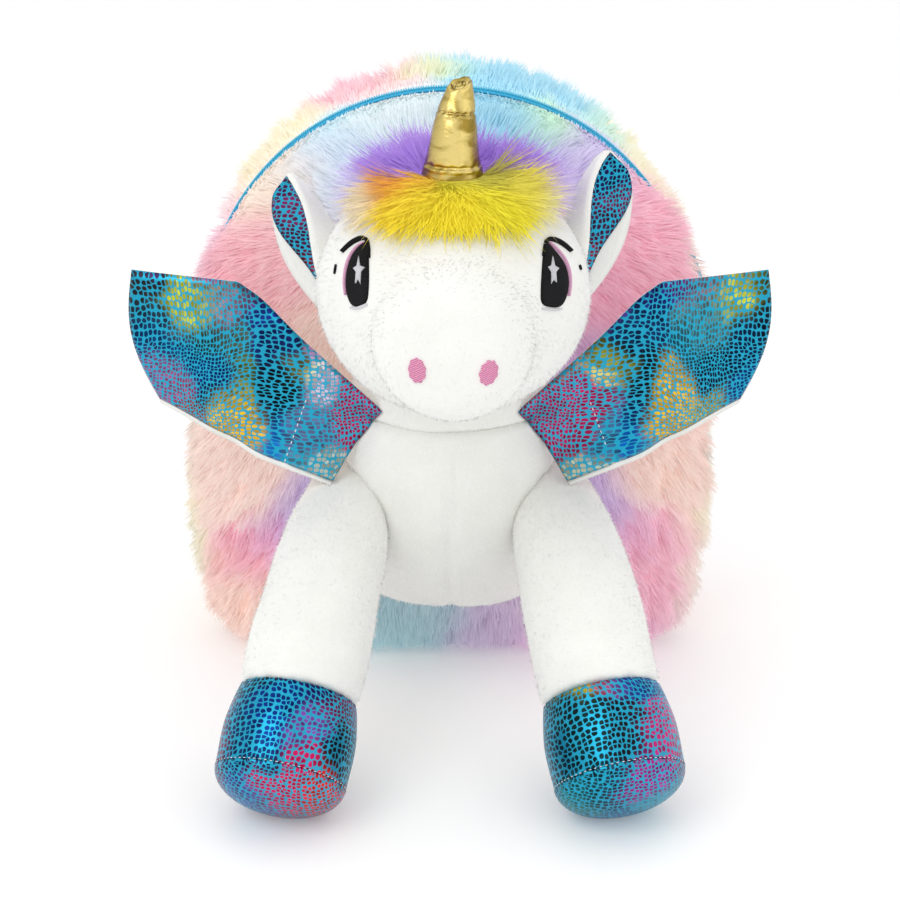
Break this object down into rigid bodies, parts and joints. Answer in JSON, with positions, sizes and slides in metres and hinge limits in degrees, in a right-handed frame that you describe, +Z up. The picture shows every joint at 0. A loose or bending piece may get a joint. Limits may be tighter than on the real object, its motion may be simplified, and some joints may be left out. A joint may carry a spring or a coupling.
{
  "type": "kids animal backpack, plush unicorn",
  "caption": "Child's plush backpack: a furry arch-shaped zipped bag with a stuffed unicorn's head, neck, chest, legs and foil wings sewn to its front.",
  "frame": {"origin": "middle of the bag's flat bottom, on the floor", "axes": "+X across the bag to the picture's right, -Y out of the front where the animal looks, +Z up"},
  "size_m": [0.3204, 0.3641, 0.328],
  "materials": {
    "rainbow_fur": "long pastel faux fur",
    "panel_cloth": "short brushed plush",
    "white_plush": "short white plush",
    "scale_foil": "iridescent foil-printed cloth",
    "gold_foil": "metallic gold cloth",
    "crest_fur": "long dyed faux fur",
    "zipper": "woven tape and nylon coil",
    "black_thread": "satin embroidery",
    "pink_thread": "satin embroidery",
    "strap_cloth": "woven padded cloth and webbing",
    "strap_plastic": "moulded plastic"
  },
  "bodies": {
    "root": {"bag_front_left": "rainbow_fur", "bag_front_right": "rainbow_fur", "bag_gusset": "rainbow_fur", "bag_back": "panel_cloth", "zipper_tape_front": "zipper", "zipper_tape_back": "zipper", "zipper_coil": "zipper", "zipper_slider": "zipper", "head": "white_plush", "neck": "white_plush", "chest": "white_plush", "ear_left": "white_plush", "ear_right": "white_plush", "leg_left": "white_plush", "leg_right": "white_plush", "wing_back_left": "white_plush", "wing_back_right": "white_plush", "horn": "gold_foil", "mane": "crest_fur", "ear_lining_left": "scale_foil", "ear_lining_right": "scale_foil", "hoof_left": "scale_foil", "hoof_right": "scale_foil", "sole_left": "scale_foil", "sole_right": "scale_foil", "wing_front_left": "scale_foil", "wing_front_right": "scale_foil", "eye_left": "black_thread", "eye_right": "black_thread", "nostril_left": "pink_thread", "nostril_right": "pink_thread", "strap_left": "strap_cloth", "strap_right": "strap_cloth", "webbing_left": "strap_cloth", "webbing_right": "strap_cloth", "strap_slider_left": "strap_plastic", "strap_slider_right": "strap_plastic"}
  },
  "joints": []
}
